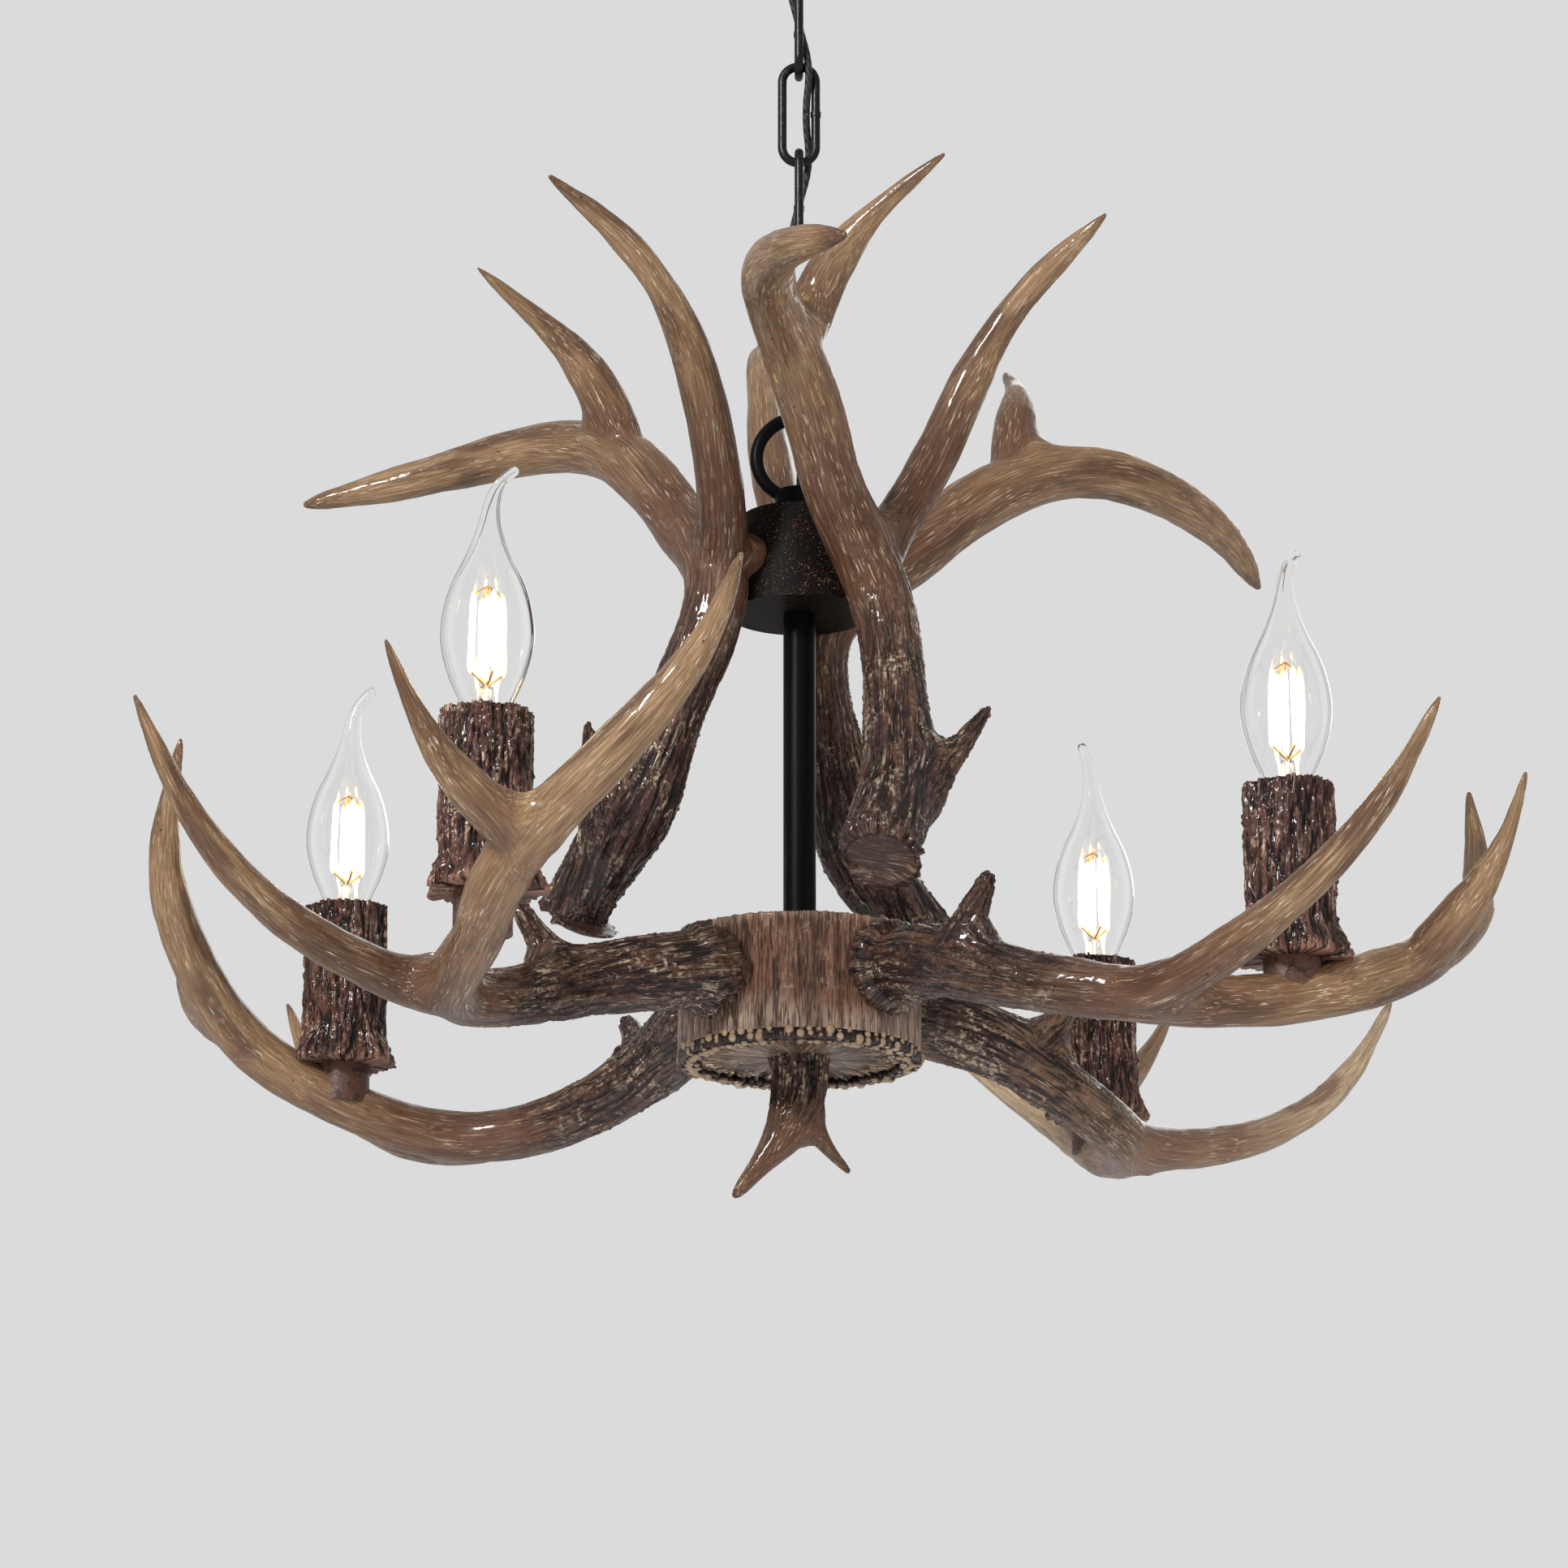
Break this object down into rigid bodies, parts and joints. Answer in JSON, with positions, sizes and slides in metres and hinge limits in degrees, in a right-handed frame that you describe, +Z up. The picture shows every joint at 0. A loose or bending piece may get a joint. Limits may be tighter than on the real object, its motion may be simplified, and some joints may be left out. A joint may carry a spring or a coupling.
{
  "type": "antler chandelier",
  "caption": "Chain-hung chandelier of cast antlers: a lower tier carries bark candle sleeves with flame-tip lamps, an upper tier rises from a cup on the central rod.",
  "frame": {"origin": "centre of the ceiling face at the top of the canopy", "axes": "+Z up towards the ceiling, +Y away from the pictured front, +X to the right of that front"},
  "size_m": [0.5391, 0.5338, 0.6589],
  "materials": {
    "antler_resin": "cast resin, dark umber at the root fading to tan tips, satin varnish",
    "bark_resin": "cast resin with bark relief, dark red-brown, satin",
    "hub_resin": "brown with upright grain and pale rubbed edges",
    "rusty_metal": "dark brown with coppery speckles, rough",
    "black_metal": "satin black",
    "chain_bronze": "aged bronze with rust patches",
    "zinc_steel": "zinc plated",
    "brass_trim": "antique brass",
    "cord_black": "black jacket, satin",
    "holder_plastic": "black moulded",
    "lamp_cap_metal": "nickel plated screw cap",
    "lamp_glass": "clear glass",
    "filament_glow": "lit filaments"
  },
  "bodies": {
    "ceiling": {"mounting_strap": "zinc_steel", "canopy": "rusty_metal", "canopy_screws": "brass_trim", "canopy_nuts": "zinc_steel", "canopy_loop": "chain_bronze", "canopy_loop_collar": "rusty_metal", "power_cord": "cord_black"},
    "link_1": {"chain_link_1": "chain_bronze"},
    "link_2": {"chain_link_2": "chain_bronze"},
    "link_3": {"chain_link_3": "chain_bronze"},
    "link_4": {"chain_link_4": "chain_bronze"},
    "link_5": {"chain_link_5": "chain_bronze"},
    "link_6": {"chain_link_6": "chain_bronze"},
    "link_7": {"chain_link_7": "chain_bronze"},
    "lamp_base_1": {"lamp_cap_1": "lamp_cap_metal"},
    "lamp_1": {"lamp_glass_1": "lamp_glass", "lamp_filaments_1": "filament_glow"},
    "lamp_base_2": {"lamp_cap_2": "lamp_cap_metal"},
    "lamp_2": {"lamp_glass_2": "lamp_glass", "lamp_filaments_2": "filament_glow"},
    "lamp_base_3": {"lamp_cap_3": "lamp_cap_metal"},
    "lamp_3": {"lamp_glass_3": "lamp_glass", "lamp_filaments_3": "filament_glow"},
    "lamp_base_4": {"lamp_cap_4": "lamp_cap_metal"},
    "lamp_4": {"lamp_glass_4": "lamp_glass", "lamp_filaments_4": "filament_glow"},
    "fixture": {"antler_lower_1": "antler_resin", "antler_lower_2": "antler_resin", "antler_lower_3": "antler_resin", "antler_lower_4": "antler_resin", "antler_upper_1": "antler_resin", "antler_upper_2": "antler_resin", "antler_upper_3": "antler_resin", "finial": "antler_resin", "candle_sleeve_1": "bark_resin", "candle_sleeve_2": "bark_resin", "candle_sleeve_3": "bark_resin", "candle_sleeve_4": "bark_resin", "hub_shell": "hub_resin", "hub_lid": "hub_resin", "hub_base": "hub_resin", "hub_bead_ring": "hub_resin", "upper_cup": "rusty_metal", "cup_base_plate": "rusty_metal", "top_loop_collar": "rusty_metal", "centre_rod": "black_metal", "sleeve_saddles": "black_metal", "top_loop": "chain_bronze", "rod_nuts": "zinc_steel", "lower_antler_screws": "zinc_steel", "upper_antler_screws": "zinc_steel", "sleeve_nipples": "zinc_steel", "lamp_holder_1": "holder_plastic", "lamp_holder_2": "holder_plastic", "lamp_holder_3": "holder_plastic", "lamp_holder_4": "holder_plastic", "terminal_block": "holder_plastic"}
  },
  "joints": [
    {"name": "swing_link_1", "type": "hinge", "parent": "ceiling", "child": "link_1", "pos_m": [0, 0, -0.06915], "axis": [1, 0, 0], "range_deg": [-10, 10], "deforming": ["power_cord"]},
    {"name": "swing_link_2", "type": "hinge", "parent": "link_1", "child": "link_2", "pos_m": [0, 0, -0.10685], "axis": [0, 1, 0], "range_deg": [-10, 10], "deforming": ["power_cord"]},
    {"name": "swing_link_3", "type": "hinge", "parent": "link_2", "child": "link_3", "pos_m": [0, 0, -0.14545], "axis": [1, 0, 0], "range_deg": [-10, 10], "deforming": ["power_cord"]},
    {"name": "swing_link_4", "type": "hinge", "parent": "link_3", "child": "link_4", "pos_m": [0, 0, -0.18405], "axis": [0, 1, 0], "range_deg": [-10, 10], "deforming": ["power_cord"]},
    {"name": "swing_link_5", "type": "hinge", "parent": "link_4", "child": "link_5", "pos_m": [0, 0, -0.22265], "axis": [1, 0, 0], "range_deg": [-10, 10], "deforming": ["power_cord"]},
    {"name": "swing_link_6", "type": "hinge", "parent": "link_5", "child": "link_6", "pos_m": [0, 0, -0.26125], "axis": [0, 1, 0], "range_deg": [-10, 10], "deforming": ["power_cord"]},
    {"name": "swing_link_7", "type": "hinge", "parent": "link_6", "child": "link_7", "pos_m": [0, 0, -0.29985], "axis": [1, 0, 0], "range_deg": [-10, 10], "deforming": ["power_cord"]},
    {"name": "swing_fixture", "type": "hinge", "parent": "link_7", "child": "fixture", "pos_m": [0, 0, -0.33845], "axis": [0, 1, 0], "range_deg": [-10, 10], "deforming": ["power_cord"]},
    {"name": "lamp_rise_1", "type": "slide", "parent": "fixture", "child": "lamp_base_1", "axis": [0, 0, 1], "range_m": [0, 0.01128]},
    {"name": "lamp_turn_1", "type": "hinge", "parent": "lamp_base_1", "child": "lamp_1", "pos_m": [-0.11532, -0.18821, 0], "axis": [0, 0, 1], "range_deg": [0, 1440]},
    {"name": "lamp_rise_2", "type": "slide", "parent": "fixture", "child": "lamp_base_2", "axis": [0, 0, 1], "range_m": [0, 0.01128]},
    {"name": "lamp_turn_2", "type": "hinge", "parent": "lamp_base_2", "child": "lamp_2", "pos_m": [0.18404, -0.12008, 0], "axis": [0, 0, 1], "range_deg": [0, 1440]},
    {"name": "lamp_rise_3", "type": "slide", "parent": "fixture", "child": "lamp_base_3", "axis": [0, 0, 1], "range_m": [0, 0.01128]},
    {"name": "lamp_turn_3", "type": "hinge", "parent": "lamp_base_3", "child": "lamp_3", "pos_m": [0.12725, 0.17966, 0], "axis": [0, 0, 1], "range_deg": [0, 1440]},
    {"name": "lamp_rise_4", "type": "slide", "parent": "fixture", "child": "lamp_base_4", "axis": [0, 0, 1], "range_m": [0, 0.01128]},
    {"name": "lamp_turn_4", "type": "hinge", "parent": "lamp_base_4", "child": "lamp_4", "pos_m": [-0.18914, 0.11406, 0], "axis": [0, 0, 1], "range_deg": [0, 1440]}
  ],
  "couplings": [
    {"joint": "lamp_rise_1", "follows": "lamp_turn_1", "m_per_rad": 0.00044882},
    {"joint": "lamp_rise_2", "follows": "lamp_turn_2", "m_per_rad": 0.00044882},
    {"joint": "lamp_rise_3", "follows": "lamp_turn_3", "m_per_rad": 0.00044882},
    {"joint": "lamp_rise_4", "follows": "lamp_turn_4", "m_per_rad": 0.00044882}
  ]
}
